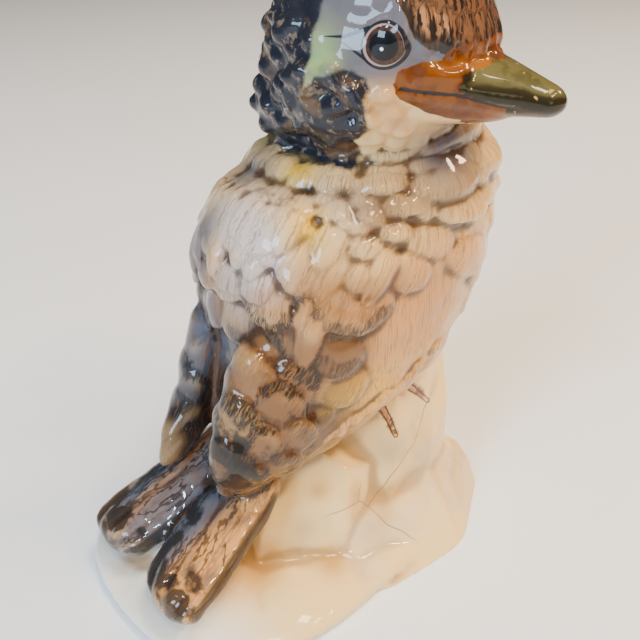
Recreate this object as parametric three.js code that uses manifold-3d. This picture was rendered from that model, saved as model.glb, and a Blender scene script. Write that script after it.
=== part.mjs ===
// A young bird perched on a rock, in glazed porcelain: one slip-cast piece, fired as one solid.
// Millimetres, +Z up, origin at the middle of the plinth's underside, which lies on the table.
import * as THREE from "three";
import { mergeVertices } from "three/addons/utils/BufferGeometryUtils.js";
import Module from "manifold-3d";

const wasm = await Module();
wasm.setup();

// Driving dimensions
const HEIGHT = 180; // from the table to the crown
const PLINTH_LENGTH = 128;
const PLINTH_WIDTH = 89;
const PLINTH_THICKNESS = 11;
const PLINTH_RIM = 7.7; // the height over which its edge is rounded
const PLINTH_TURN = 14; // degrees, the tail end toward the right wing's side

// The figure keeps its pose, proportions and carving as hundredths of its height.
const U = HEIGHT / 100;
const FIGURE_AT = 6.2; // how far the figure's frame stands forward of the plinth's middle
const BODY_TURN = 13; // degrees that the bird's heading is turned on its rock
const HEAD_TURN = -57; // degrees, the way that the head looks
const LEFT_WING_LONGER = 3.5; // than the right one, which also makes it slimmer

const rad = THREE.MathUtils.degToRad;
const lerp = THREE.MathUtils.lerp;
const vec = (x, y, z) => new THREE.Vector3(x, y, z);

// The direction that lies turn degrees round from +X and slope degrees above the level.
function toward(turn, slope) {
  const level = Math.cos(rad(slope));
  return vec(level * Math.cos(rad(turn)), level * Math.sin(rad(turn)), Math.sin(rad(slope)));
}

// Closes the end of a form with a quarter ellipse over the share c of its length.
const cap = (s, c) => Math.sqrt(Math.max(0, 1 - Math.max(0, 1 - s / c) ** 2));

// A form strung along a curve, as a function of the share s along it and the angle round it.
// Each station is [x, y, z, deep, wide] in hundredths of the height, and side is the direction
// of the width. A power of 1 gives an elliptical section, and more a diamond.
function loft(stations, { side = [0, 1, 0], power = 1, caps = [0.25, 0.25] } = {}) {
  const centres = new THREE.CatmullRomCurve3(stations.map((p) => vec(p[0], p[1], p[2])));
  const radii = new THREE.CatmullRomCurve3(stations.map((p) => vec(p[3], p[4], 0)));
  const across = vec(...side).normalize();
  return (s, angle) => {
    const r = radii.getPoint(s).multiplyScalar(cap(s, caps[0]) * cap(1 - s, caps[1]));
    const out = centres.getTangent(s).cross(across).normalize();
    const [c, d] = [Math.cos(angle), Math.sin(angle)];
    return centres
      .getPoint(s)
      .addScaledVector(across, r.y * Math.sign(c) * Math.abs(c) ** power)
      .addScaledVector(out, -r.x * Math.sign(d) * Math.abs(d) ** power)
      .multiplyScalar(U);
  };
}

// The closed mesh of a form: a ball whose rings are laid on it, closer together at its ends.
function skin(form, around, along) {
  const ball = new THREE.SphereGeometry(1, around, along);
  const { position, uv } = ball.attributes;
  for (let i = 0; i < position.count; i++) {
    const s = (1 - Math.cos(Math.PI * (1 - uv.getY(i)))) / 2;
    const p = form(s, 2 * Math.PI * uv.getX(i));
    position.setXYZ(i, p.x, p.y, p.z);
  }
  return ball;
}

// A ball of clay pressed to size, in hundredths of the height, with its long axis turned.
function lump(at, size, turn = 0, detail = [20, 14]) {
  return new THREE.SphereGeometry(U, ...detail)
    .rotateX(Math.PI / 2)
    .scale(...size)
    .rotateZ(rad(turn))
    .translate(...at.map((c) => c * U));
}

// A feather is a lens of clay that follows the form under it and points to the form's start.
// Its root is sunk and its tip stands lift above the form, all in hundredths of the height.
function feather(form, s, angle, { length, width, thick, lift }) {
  const STEP = 0.01;
  const perShare = form(s + STEP, angle).distanceTo(form(s - STEP, angle)) / (2 * STEP);
  const perAngle = form(s, angle + STEP).distanceTo(form(s, angle - STEP)) / (2 * STEP);
  const lens = new THREE.SphereGeometry(U / 2, 6, 4).rotateX(Math.PI / 2);
  const { position } = lens.attributes;
  for (let i = 0; i < position.count; i++) {
    const tipward = position.getX(i) * length;
    const here = [s - tipward / perShare, angle + (position.getY(i) * width) / perAngle];
    const at = form(...here);
    const down = form(here[0] - STEP, here[1]).sub(form(here[0] + STEP, here[1]));
    const round = form(here[0], here[1] + STEP).sub(form(here[0], here[1] - STEP));
    const rise = position.getZ(i) * thick + (lift * tipward) / length;
    at.addScaledVector(round.cross(down).normalize(), rise);
    position.setXYZ(i, at.x, at.y, at.z);
  }
  return lens;
}

// Rows of feathers over part of a form. Each range is [first row, last row]: s is the share
// along the form, from and to the angles that a row spans, and every second row is shifted.
function plumage(form, { rows, across, s, from, to, length, width, thick, lift }) {
  const laid = [];
  for (let row = 0; row < rows; row++) {
    const pick = (range) => lerp(range[0], range[1], rows > 1 ? row / (rows - 1) : 0);
    const count = Math.round(pick(across));
    for (let k = 0; k < count; k++) {
      const share = (k + 0.5 + (row % 2 ? 0.25 : -0.25)) / count;
      laid.push(
        feather(form, pick(s), rad(lerp(pick(from), pick(to), share)), {
          length: pick(length),
          width: pick(width),
          thick: pick(thick),
          lift: pick(lift),
        }),
      );
    }
  }
  return laid;
}

function solid(geometry) {
  geometry.deleteAttribute("normal");
  geometry.deleteAttribute("uv");
  const merged = mergeVertices(geometry, 1e-4);
  const make = (tris) =>
    new wasm.Manifold(
      new wasm.Mesh({
        numProp: 3,
        vertProperties: merged.attributes.position.array,
        triVerts: tris,
      }),
    );
  const made = make(new Uint32Array(merged.index.array));
  return made.volume() > 0 ? made : make(new Uint32Array(merged.index.array).reverse());
}

function geometryOf(manifold) {
  const m = manifold.getMesh();
  return new THREE.BufferGeometry()
    .setAttribute("position", new THREE.BufferAttribute(new Float32Array(m.vertProperties), 3))
    .setIndex(new THREE.BufferAttribute(new Uint32Array(m.triVerts), 1));
}

// Fills the small pockets that lumps shut in between them. Triangles that share corners form a
// shell, and the shell of a pocket faces inward, so the volume inside it comes out negative.
function fillPockets(geometry) {
  const { position } = geometry.attributes;
  const index = geometry.index.array;
  const corner = (i) => vec().fromBufferAttribute(position, index[i]);
  const parent = Array.from({ length: position.count }, (_, i) => i);
  const shellOf = (i) => {
    while (parent[i] !== i) i = parent[i];
    return i;
  };
  for (let i = 0; i < index.length; i += 3) {
    parent[shellOf(index[i + 1])] = shellOf(index[i]);
    parent[shellOf(index[i + 2])] = shellOf(index[i]);
  }
  const volume = new Map();
  for (let i = 0; i < index.length; i += 3) {
    const key = shellOf(index[i]);
    const six = corner(i).dot(corner(i + 1).cross(corner(i + 2)));
    volume.set(key, (volume.get(key) ?? 0) + six);
  }
  const kept = [];
  for (let i = 0; i < index.length; i += 3) {
    if (volume.get(shellOf(index[i])) > 0) kept.push(index[i], index[i + 1], index[i + 2]);
  }
  return geometry.setIndex(kept);
}

// A stone: a ball trimmed by flat cuts, each [turn, slope, distance as a share of the ball].
function stone(at, size, cuts) {
  const SAW = 4;
  let rock = solid(new THREE.SphereGeometry(1, 16, 10).rotateX(Math.PI / 2));
  for (const [turn, slope, far] of cuts) {
    const facing = new THREE.Quaternion().setFromUnitVectors(vec(0, 0, 1), toward(turn, slope));
    const saw = new THREE.BoxGeometry(SAW, SAW, SAW)
      .translate(0, 0, SAW / 2 + far)
      .applyQuaternion(facing);
    rock = rock.subtract(solid(saw));
  }
  return geometryOf(rock)
    .scale(...size.map((r) => r * U))
    .translate(...at.map((c) => c * U));
}

// The egg of the body, from the vent to the neck. The trunk is modelled heading along +X.
const TURN = new THREE.Matrix4().makeRotationZ(rad(BODY_TURN));
const body = loft([
  [-19, 0, 18, 4, 6],
  [-13, 0, 25, 9, 12],
  [-4, 0, 35.5, 16.5, 16.5],
  [2.8, 0, 46, 23.4, 18.8],
  [8.8, 0, 56, 22.8, 18.8],
  [10.4, 0, 64.5, 20.4, 16.8],
  [9.6, 0, 73, 15.6, 13.8],
  [7, 0, 80, 12, 12],
]);

// The free end of a folded wing. hand is -1 for the right one and 1 for the left.
function wing(hand) {
  const longer = hand > 0 ? LEFT_WING_LONGER : 0;
  return loft(
    [
      [-6, hand * 11.5, 48, 10, 4],
      [-10.5, hand * 10.5, 40, 10.5 - longer / 3, 4],
      [-16.5 + longer / 4, hand * 9.5, 32.5, 8.5 - longer / 2, 3.6],
      [-21, hand * 7.8, 26.5, 5.5 - longer / 2, 3],
      [-25 - longer, hand * 6, 21, 2.5, 2],
    ],
    { side: [-0.45, hand, 0.1], caps: [0.35, 0.15] },
  );
}

// The tail is a pair of blades that lie down on the plinth.
const tail = (hand) =>
  loft(
    [
      [-14, hand * 3.5, 23, 3, 6],
      [-22, hand * 5, 16.5, 3, 6.8],
      [-31, hand * 7.2, 11.5, 2.8, 6.8],
      [-39, hand * 9, 8.2, 2.4, 6.2],
    ],
    { caps: [0.2, 0.15] },
  );

// The head is modelled looking along +X from the middle of the skull.
const HEAD = [7.2, -3, 83.3];
const LOOK = new THREE.Matrix4()
  .makeTranslation(...HEAD.map((c) => c * U))
  .multiply(new THREE.Matrix4().makeRotationZ(rad(HEAD_TURN)));

const headLumps = [
  lump([0.5, 0, 0], [15, 14, 13.5], 0, [22, 12]), // skull and cheeks
  lump([1.5, 0, 5.5], [13.8, 12.5, 11], 0, [18, 8]), // crown
  lump([-9.6, 1, -7.6], [9, 10.5, 8.6], 0, [12, 8]), // nape
  lump([-1, -9.5, -5.5], [6, 5, 5], 0, [10, 6]), // right ear
  lump([-1, 9.5, -5.5], [6, 5, 5], 0, [10, 6]), // left ear
];

// The closed beak: a ridged upper half over a shallower lower one.
const beakUpper = loft(
  [
    [5, 0, -1.8, 6.6, 13],
    [11, 0, -2.3, 5.2, 11],
    [17, 0, -3, 3.8, 7],
    [22, 0, -3.7, 2.7, 3.9],
    [26.5, 0, -4.3, 1.6, 2],
  ],
  { caps: [0.2, 0.1], power: 1.15 },
);
const beakLower = loft(
  [
    [5, 0, -4.6, 3.8, 11.5],
    [11, 0, -5, 3.2, 9.4],
    [16, 0, -5.2, 2.4, 6],
    [21, 0, -5.4, 1.3, 2.6],
  ],
  { caps: [0.2, 0.2] },
);

// Curls of down over the nape and round the ears: small balls in rings round the head's back.
function curls() {
  const SIZE = 2.8;
  const RINGS = 4;
  const COUNT = 6;
  const made = [];
  for (let ring = 0; ring < RINGS; ring++) {
    const slope = lerp(34, -50, ring / (RINGS - 1));
    for (let k = 0; k < COUNT; k++) {
      const turn = lerp(98, 262, (k + (ring % 2 ? 0.7 : 0.3)) / COUNT);
      const at = toward(turn, slope).multiply(vec(14.6, 13, 14.5)).add(vec(0, 0, -1));
      made.push(lump(at.toArray(), [SIZE, SIZE, SIZE * 0.8], turn, [6, 4]));
    }
  }
  return made;
}

// Flat buttons of eyes.
const eyes = [-1, 1].map((hand) => lump([6.8, hand * 11.7, 3.1], [3, 1.4, 3], 0, [12, 6]));

// The scallops of a folded wing, from the shoulder down the flank. They are larger and fewer
// on the left side, which faces away.
function coverts(hand) {
  const left = hand > 0;
  const side = (degrees) => (left ? 360 - degrees : 180 + degrees);
  const size = left ? 1.3 : 1;
  return plumage(body, {
    rows: left ? 4 : 6,
    across: left ? [2, 4] : [3, 5],
    s: [0.775, 0.33],
    from: [side(84), side(86)],
    to: [side(14), side(-8)],
    length: [11 * size, 11.5 * size],
    width: [9.8 * size, 9.6 * size],
    thick: [2.4, 2],
    lift: [1.6, 1.6],
  });
}

// Long feathers over the free end of the wing.
const quills = (hand) =>
  plumage(wing(hand), {
    rows: 3,
    across: [3, 2],
    s: [0.36, 0.74],
    from: [-75, -70],
    to: [75, 70],
    length: [14, 14],
    width: [8, 5.5],
    thick: [1.8, 1.6],
    lift: [1.4, 1],
  });

// Ruffled folds across the throat.
const ruffles = plumage(body, {
  rows: 3,
  across: [3, 3],
  s: [0.88, 0.72],
  from: [12, 4],
  to: [168, 176],
  length: [6, 6.5],
  width: [15, 18],
  thick: [2.4, 2.4],
  lift: [0.6, 0.6],
});

// Two toes of the right foot grip the front of the rock, each thinner toward its claw.
const toe = (points) =>
  loft(
    points.map(([x, y, z], i) => [x, y, z, 1.5 - 0.35 * i, 1.5 - 0.35 * i]),
    { side: [0.6, -0.8, 0], caps: [0.3, 0.3] },
  );
const toes = [
  toe([
    [6, -10, 34],
    [10.5, -12.5, 31],
    [15.2, -13, 26.2],
  ]),
  toe([
    [2.5, -10, 32],
    [5.2, -13, 28.5],
    [7.4, -14, 22.8],
  ]),
];

// The upright stone that the bird grips, its shoulder toward the tail, and the low skirt.
const rocks = [
  stone([8, 1, 0], [22, 19, 46], [
    [-72, 16, 0.72],
    [-20, 6, 0.82],
    [15, 8, 0.86],
    [60, 12, 0.8],
    [110, 16, 0.74],
    [170, 20, 0.7],
    [-120, 24, 0.68],
    [-90, 60, 0.78],
    [30, 62, 0.85],
  ]),
  stone([-7, -2, 0], [20, 19, 30], [
    [-105, 30, 0.76],
    [-60, 14, 0.84],
    [-160, 34, 0.72],
    [100, 26, 0.78],
    [-30, 62, 0.8],
  ]),
  stone([4, 0, 0], [28, 24, 14], [
    [-80, 34, 0.8],
    [-40, 26, 0.86],
    [20, 30, 0.9],
    [90, 34, 0.82],
    [-130, 40, 0.8],
  ]),
  stone([-20, 0, 0], [19, 19, 10.5], [
    [-80, 44, 0.8],
    [-150, 30, 0.88],
    [100, 44, 0.8],
  ]),
];

// The slab under it all: an egg-shaped outline, its rim rounded over, its underside flat.
function plinthSlab() {
  const SQUARENESS = 2.5; // 2 is an ellipse
  const TAPER = 0.14; // how much narrower it is under the breast than in the middle
  const slab = new THREE.SphereGeometry(1, 34, 8).rotateX(Math.PI / 2);
  const p = slab.attributes.position;
  for (let i = 0; i < p.count; i++) {
    const angle = Math.atan2(p.getY(i), p.getX(i));
    const [c, d] = [Math.cos(angle), Math.sin(angle)];
    const reach = (Math.abs(c) ** SQUARENESS + Math.abs(d) ** SQUARENESS) ** (-1 / SQUARENESS);
    const out = (Math.hypot(p.getX(i), p.getY(i)) * reach) / 2;
    p.setXYZ(
      i,
      c * out * PLINTH_LENGTH,
      d * out * PLINTH_WIDTH * (1 - TAPER * c),
      PLINTH_THICKNESS - PLINTH_RIM * (1 - p.getZ(i)),
    );
  }
  return slab.rotateZ(rad(PLINTH_TURN));
}

// The lumps of clay, each group in its own frame, and then all on the plinth.
const beak = [skin(beakUpper, 16, 10), skin(beakLower, 12, 8)];
const head = [...headLumps, ...curls(), ...eyes, ...beak].map((g) => g.applyMatrix4(LOOK));
const side = (hand) => [
  skin(wing(hand), 14, 10),
  skin(tail(hand), 12, 10),
  ...coverts(hand),
  ...quills(hand),
];
const trunk = [skin(body, 24, 16), ...side(-1), ...side(1), ...ruffles].map((g) =>
  g.applyMatrix4(TURN),
);
const feet = toes.map((t) => skin(t, 7, 6));
const figure = [...trunk, ...head, ...feet, ...rocks].map((g) => g.translate(FIGURE_AT * U, 0, 0));
const lumps = [...figure, plinthSlab()];

// Everything below the table is cut away, which leaves the underside flat. The slivers that
// joining leaves along the seams, thinner than FINEST, are closed up.
const FINEST = 0.02;
const CUT = 2 * Math.max(PLINTH_LENGTH, PLINTH_WIDTH, HEIGHT);
const table = solid(new THREE.BoxGeometry(CUT, CUT, CUT).translate(0, 0, -CUT / 2));
const whole = lumps
  .map(solid)
  .reduce((a, b) => a.add(b))
  .subtract(table)
  .simplify(FINEST);

const glaze = new THREE.MeshStandardMaterial({ color: 0xe8d8c0, roughness: 0.15, metalness: 0 });
const mesh = new THREE.Mesh(fillPockets(geometryOf(whole)), glaze);
mesh.name = "porcelain_bird";
const group = new THREE.Group();
group.add(mesh);

export default group;
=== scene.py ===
# %% [markdown]
# A porcelain bird on a rock, glazed and hand painted.
# The real figurine is one hollow casting. Its forms were pressed and carved in soft clay, so
# everything is rounded, and a thick clear glaze then softened every edge again.
# This lesson builds it the same way: rough forms are mapped from spheres, melted into one
# skin, cut flat at the table, and then painted with masks that the forms leave behind.

# %% The frame and the camera
import random
from math import atan2, cos, hypot, radians, sin, sqrt

import bmesh
import bpy
import numpy as np
from mathutils import Matrix, Vector
from mathutils import noise as clay_noise
from mathutils.bvhtree import BVHTree


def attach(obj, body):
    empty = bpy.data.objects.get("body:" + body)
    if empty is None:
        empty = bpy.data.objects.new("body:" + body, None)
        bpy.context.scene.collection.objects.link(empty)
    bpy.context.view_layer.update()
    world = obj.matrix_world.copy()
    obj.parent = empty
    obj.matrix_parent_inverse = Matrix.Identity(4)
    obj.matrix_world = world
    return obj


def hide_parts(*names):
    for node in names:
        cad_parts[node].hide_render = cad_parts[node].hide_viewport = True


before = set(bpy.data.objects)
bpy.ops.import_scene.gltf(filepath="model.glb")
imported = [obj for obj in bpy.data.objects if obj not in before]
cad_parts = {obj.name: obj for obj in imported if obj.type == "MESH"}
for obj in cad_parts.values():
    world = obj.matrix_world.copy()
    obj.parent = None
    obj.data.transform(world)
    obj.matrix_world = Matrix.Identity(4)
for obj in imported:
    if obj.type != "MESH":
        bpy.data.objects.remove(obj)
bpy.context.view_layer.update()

HEIGHT = 0.180  # metres, from the table to the crown
U = HEIGHT / 100  # the figure's forms are given in hundredths of its height
HALF_MM = U * 500  # half of such a hundredth, in millimetres
FIGURE_AT = Vector((6.2 * U, 0, 0))  # where the figure's own frame stands on the plinth

# %% [markdown]
# The photograph was taken from close by and from above, so the head looms over the plinth.
# A camera copies that only from the same distance: a longer lens further away would flatten
# the figure. The direction, the distance and the field of view are fitted together.

# %% The camera
VIEW_TURN, VIEW_RISE = -117, 31  # degrees: off the bird's right side, and from above
AIM = FIGURE_AT + Vector((0, 0, 0.0726))
DISTANCE = 0.2255
FOCAL_MM, SENSOR_MM = 42.75, 36


def direction(turn, rise):
    """The way that is turned from x and raised from the table, in degrees."""
    t, r = radians(turn), radians(rise)
    return Vector((cos(r) * cos(t), cos(r) * sin(t), sin(r)))


back = direction(VIEW_TURN, VIEW_RISE)  # from the figure to the camera
camera = bpy.data.objects.new("camera", bpy.data.cameras.new("camera"))
camera.data.lens = FOCAL_MM
camera.data.sensor_width = SENSOR_MM
camera.data.clip_start = 0.01
camera.location = AIM + back * DISTANCE
camera.rotation_euler = (-back).to_track_quat("-Z", "Y").to_euler()
bpy.context.collection.objects.link(camera)
bpy.context.scene.camera = camera
print("camera at", [round(c, 4) for c in camera.location])

# %% [markdown]
# The figurine stands on a plain pale floor. Glossy glaze shows what is around it, so the
# lights decide the look more than the paint does: a cool window on the left, warm lamps on
# the right, and a large soft one above, as in a living room. Small lamps make the bright
# points on the glaze and large ones make the broad sheen.

# %% The floor and the lights
FLOOR_GAP = 0.0002  # metres under the plinth, so that the two surfaces don't flicker
pale = bpy.data.materials.new("pale_floor")
pale.use_nodes = True
pale_shader = pale.node_tree.nodes["Principled BSDF"]
pale_shader.inputs["Base Color"].default_value = (0.82, 0.9, 1.0, 1)
pale_shader.inputs["Roughness"].default_value = 0.6
floor_mesh = bmesh.new()
bmesh.ops.create_grid(floor_mesh, x_segments=1, y_segments=1, size=3)
floor_data = bpy.data.meshes.new("floor")
floor_mesh.to_mesh(floor_data)
floor_mesh.free()
floor = bpy.data.objects.new("floor", floor_data)
floor.data.materials.append(pale)
floor.location.z = -FLOOR_GAP
bpy.context.collection.objects.link(floor)

world = bpy.data.worlds.new("room")
world.use_nodes = True
room_light = world.node_tree.nodes["Background"]
room_light.inputs["Color"].default_value = (1, 0.97, 0.93, 1)
room_light.inputs["Strength"].default_value = 0.1
bpy.context.scene.world = world


def lamp(name, turn, rise, far, size, watts, colour):
    """A square soft lamp, aimed at the figure's middle. far and size are in metres."""
    data = bpy.data.lights.new(name, "AREA")
    data.size, data.energy, data.color = size, watts, colour
    out = direction(turn, rise)
    lit = bpy.data.objects.new(name, data)
    lit.location = Vector((0, 0, HEIGHT / 2)) + out * far
    lit.rotation_euler = out.to_track_quat("Z", "Y").to_euler()
    bpy.context.collection.objects.link(lit)


COOL, WARM, WHITE = (0.55, 0.76, 1.0), (1.0, 0.66, 0.36), (1.0, 0.82, 0.6)
lamp("window", 205, 22, 1.5, 0.5, 27, COOL)
lamp("ceiling", -45, 72, 1.7, 0.4, 27, WHITE)
lamp("warm_lamp", -5, 36, 1.5, 0.25, 15, WARM)
lamp("front_fill", -85, 20, 1.8, 0.6, 4, WHITE)
for turn in (-106, -99, -92):
    lamp("spot", turn, 56, 1.2, 0.04, 2.6, WARM)
for turn in (-62, -52, -42, -31):
    lamp("spot", turn, 50, 1.2, 0.05, 2.4, WARM)
for turn in (-165, -150):
    lamp("cool_spot", turn, 48, 1.2, 0.05, 2, COOL)
print("lights", len(bpy.data.lights))

# %% [markdown]
# Most of the bird is strung along curves, as a sculptor builds clay on a wire: the egg of the
# body, each wing's free end, the tail, the beak and the toes. A list of stations gives each
# curve's place and its two radii there, and a smooth curve is drawn through them. A curve
# object with a bevel could do this too, but a function is easier to lay feathers on later.

# %% Forms strung along a curve
def smooth_table(points, count=600):
    """A centripetal Catmull-Rom curve through the points, at even shares from 0 to 1."""
    p = np.array(points, float)
    p = np.vstack([2 * p[0] - p[1], p, 2 * p[-1] - p[-2]])
    share = np.linspace(0, len(points) - 1, count + 1)
    k = np.minimum(share.astype(int), len(points) - 2)
    w = (share - k)[:, None]
    a, b, c, d = (p[k + i] for i in range(4))

    def knot(q, r):
        return np.maximum(np.sqrt(np.linalg.norm(r - q, axis=1)), 1e-3)[:, None]

    d0, d1, d2 = knot(a, b), knot(b, c), knot(c, d)
    t1 = ((b - a) / d0 - (c - a) / (d0 + d1) + (c - b) / d1) * d1
    t2 = ((c - b) / d1 - (d - b) / (d1 + d2) + (d - c) / d2) * d1
    return b + t1 * w + (3 * c - 3 * b - 2 * t1 - t2) * w**2 + (2 * b - 2 * c + t1 + t2) * w**3


class Form:
    """A place on a form, from the share s along its curve and the angle round it.

    Each station is x, y, z, deep, wide in hundredths of the height. side is the direction of
    the width, and a power above 1 makes the section a diamond."""

    def __init__(self, stations, side=(0, 1, 0), power=1, caps=(0.25, 0.25)):
        stations = np.array(stations, float)
        self.centres = smooth_table(stations[:, :3])
        self.radii = smooth_table(stations[:, 3:])
        self.across = np.array(side, float) / np.linalg.norm(side)
        tangents = np.gradient(self.centres, axis=0)
        outs = np.cross(tangents, self.across)
        self.outs = outs / np.linalg.norm(outs, axis=1, keepdims=True)
        self.power, self.caps = power, caps

    def look_up(self, table, s):
        at = np.clip(s, 0, 1) * (len(table) - 1)
        low = np.minimum(at.astype(int), len(table) - 2)
        return table[low] + (table[low + 1] - table[low]) * (at - low)[:, None]

    def __call__(self, s, angle):
        s, angle = np.broadcast_arrays(np.atleast_1d(s).astype(float), angle)
        end = 1.0
        for share, cap in ((s, self.caps[0]), (1 - s, self.caps[1])):
            end = end * np.sqrt(np.clip(1 - np.clip(1 - share / cap, 0, None) ** 2, 0, 1))
        radii = self.look_up(self.radii, s) * end[:, None]
        c, d = np.cos(angle), np.sin(angle)
        wide = radii[:, 1] * np.sign(c) * np.abs(c) ** self.power
        deep = radii[:, 0] * np.sign(d) * np.abs(d) ** self.power
        out = self.look_up(self.outs, s)
        return self.look_up(self.centres, s) + wide[:, None] * self.across - deep[:, None] * out


print("a straight form, halfway:", Form([(0, 0, 0, 1, 1), (9, 0, 0, 1, 1)])(0.5, 0)[0])

# %% [markdown]
# These are the bird's own curves. The body is an egg that leans forward, each wing's free end
# is a flat leaf, the tail is a pair of blades, and the beak is a deep wedge over a thin one.
# Their stations follow the photograph's outline, and fuller or flatter ones would leave it.

# %% The bird's curves
body = Form(
    [
        (-19, 0, 18, 4, 6),
        (-13, 0, 25, 9, 12),
        (-4, 0, 35.5, 16.5, 16.5),
        (2.8, 0, 46, 23.4, 18.8),
        (8.8, 0, 56, 22.8, 18.8),
        (10.4, 0, 64.5, 20.4, 16.8),
        (9.6, 0, 73, 15.6, 13.8),
        (7, 0, 80, 12, 12),
    ]
)


def wing(hand):
    """The free end of a folded wing. hand is -1 for the right one and 1 for the left."""
    longer = 3.5 if hand > 0 else 0
    return Form(
        [
            (-6, hand * 11.5, 48, 10, 4),
            (-10.5, hand * 10.5, 40, 10.5 - longer / 3, 4),
            (-16.5 + longer / 4, hand * 9.5, 32.5, 8.5 - longer / 2, 3.6),
            (-21, hand * 7.8, 26.5, 5.5 - longer / 2, 3),
            (-25 - longer, hand * 6, 21, 2.5, 2),
        ],
        side=(-0.45, hand, 0.1),
        caps=(0.35, 0.15),
    )


def tail(hand):
    return Form(
        [
            (-14, hand * 3.5, 23, 3, 6),
            (-22, hand * 5, 16.5, 3, 6.8),
            (-31, hand * 7.2, 11.5, 2.8, 6.8),
            (-39, hand * 9, 8.2, 2.4, 6.2),
        ],
        caps=(0.2, 0.15),
    )


beak_upper = Form(
    [
        (5, 0, -1.8, 6.6, 13),
        (11, 0, -2.3, 5.2, 11),
        (17, 0, -3, 3.8, 7),
        (22, 0, -3.7, 2.7, 3.9),
        (26.5, 0, -4.3, 1.6, 2),
    ],
    power=1.15,
    caps=(0.2, 0.1),
)
beak_lower = Form(
    [
        (5, 0, -4.6, 3.8, 11.5),
        (11, 0, -5, 3.2, 9.4),
        (16, 0, -5.2, 2.4, 6),
        (21, 0, -5.4, 1.3, 2.6),
    ],
    caps=(0.2, 0.2),
)
print("body length", round(float(np.linalg.norm(np.diff(body.centres, axis=0), axis=1).sum()), 1))

# %% [markdown]
# All the clay goes into one bmesh. Each lump starts as a ball from create_uvsphere, whose
# vertices are then moved onto its form. Every vertex also keeps some marks for the painter:
# what kind of thing it belongs to, how far it is from a feather's free edge, and where it
# lies across and along the feather. Melting the clay into one skin would lose them, so they
# are read back later from the nearest place on this clay.

# %% The clay and its marks
KINDS = "body covert quill tail fold fringe toe rock plinth skull crown curl ear beak eye".split()
MARKS = ("kind", "edge", "across", "along", "seed", "ink")
NO_EDGE = 12.0  # millimetres from a free edge, where there is none
clay = bmesh.new()
for name in MARKS:
    clay.verts.layers.float.new(name)
chance = random.Random(7).uniform  # the same draws in every run

TURN = Matrix.Rotation(radians(13), 4, "Z")
LOOK = Matrix.Translation((7.2, -3, 83.3)) @ Matrix.Rotation(radians(-57), 4, "Z")
STILL = Matrix.Identity(4)


def add_to_clay(made, kind, marks=None):
    """Marks every vertex of a finished lump and copies it into the clay."""
    count = len(made.verts)
    values = {"kind": [KINDS.index(kind)] * count, "edge": [NO_EDGE] * count}
    values["seed"] = [chance(0, 1)] * count
    values.update(marks or {})
    for name, column in values.items():
        layer = made.verts.layers.float.new(name)
        for v, value in zip(made.verts, column):
            v[layer] = value
    made_data = bpy.data.meshes.new(kind)
    made.to_mesh(made_data)
    made.free()
    clay.from_mesh(made_data)
    bpy.data.meshes.remove(made_data)


def press(kind, frame_of, segments, rings, place, **marks):
    """Adds a ball whose vertices place moves, in hundredths of the height, in its own frame."""
    made = bmesh.new()
    bmesh.ops.create_uvsphere(made, u_segments=segments, v_segments=rings, radius=1)
    ball = np.array([v.co for v in made.verts])
    turn = np.array(frame_of)
    points = (place(ball) @ turn[:3, :3].T + turn[:3, 3]) * U + np.array(FIGURE_AT)
    for v, p in zip(made.verts, points.tolist()):
        v.co = p
    add_to_clay(made, kind, {name: value(ball).tolist() for name, value in marks.items()})


print("kinds of clay", len(KINDS), "marks", MARKS)

# %% [markdown]
# Two helpers make nearly every form. skin wraps a ball round a whole curve, and lump is a
# ball that is only pressed to size and turned, for the skull, the ears and all that is small.

# %% The large forms
def skin(kind, frame_of, form, segments, rings):
    """The whole of a form: the ball's height becomes the share along it."""
    press(
        kind, frame_of, segments, rings,
        lambda ball: form((1 - ball[:, 2]) / 2, np.arctan2(ball[:, 1], ball[:, 0])),
        across=lambda ball: np.arctan2(ball[:, 1], ball[:, 0]) * 20,
        along=lambda ball: (1 - ball[:, 2]) / 2 * 100,
    )


def lump(kind, frame_of, at, size, turn=0, rise=0, detail=(16, 10)):
    """A ball pressed to size. Its long axis is turned, and raised at its front."""
    spin = Matrix.Rotation(radians(turn), 3, "Z") @ Matrix.Rotation(radians(-rise), 3, "Y")
    press(
        kind, frame_of, *detail,
        lambda ball: (ball * np.array(size)) @ np.array(spin).T + np.array(at),
        across=lambda ball: ball[:, 1] * size[1] * 2,
        along=lambda ball: ball[:, 0] * size[0] * 2,
    )


SKULL_X, SKULL = 0.5, (15, 14, 13.5)
NAPE = (-9.6, 1, -7.6)
skin("body", TURN, body, 96, 64)
for hand in (-1, 1):
    skin("quill", TURN, wing(hand), 48, 40)
skin("beak", LOOK, beak_upper, 48, 40)
skin("beak", LOOK, beak_lower, 40, 28)
lump("skull", LOOK, (SKULL_X, 0, 0), SKULL, detail=(64, 40))
lump("crown", LOOK, (1.5, 0, 5.5), (13.8, 12.5, 11), detail=(56, 32))
lump("curl", LOOK, NAPE, (9, 10.5, 8.6), detail=(40, 24))
for hand in (-1, 1):
    lump("ear", LOOK, (-1, hand * 9.5, -5.5), (6, 5, 5), detail=(28, 18))
print("clay vertices", len(clay.verts))

# %% [markdown]
# A feather here is a lens of clay that follows the form under it: its root is sunk and its
# tip stands a little proud. Rows of them, each shifted by half a feather, make the scallops
# of the wing. A flat plate would be simpler, but it would cut through a curved flank.

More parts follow.
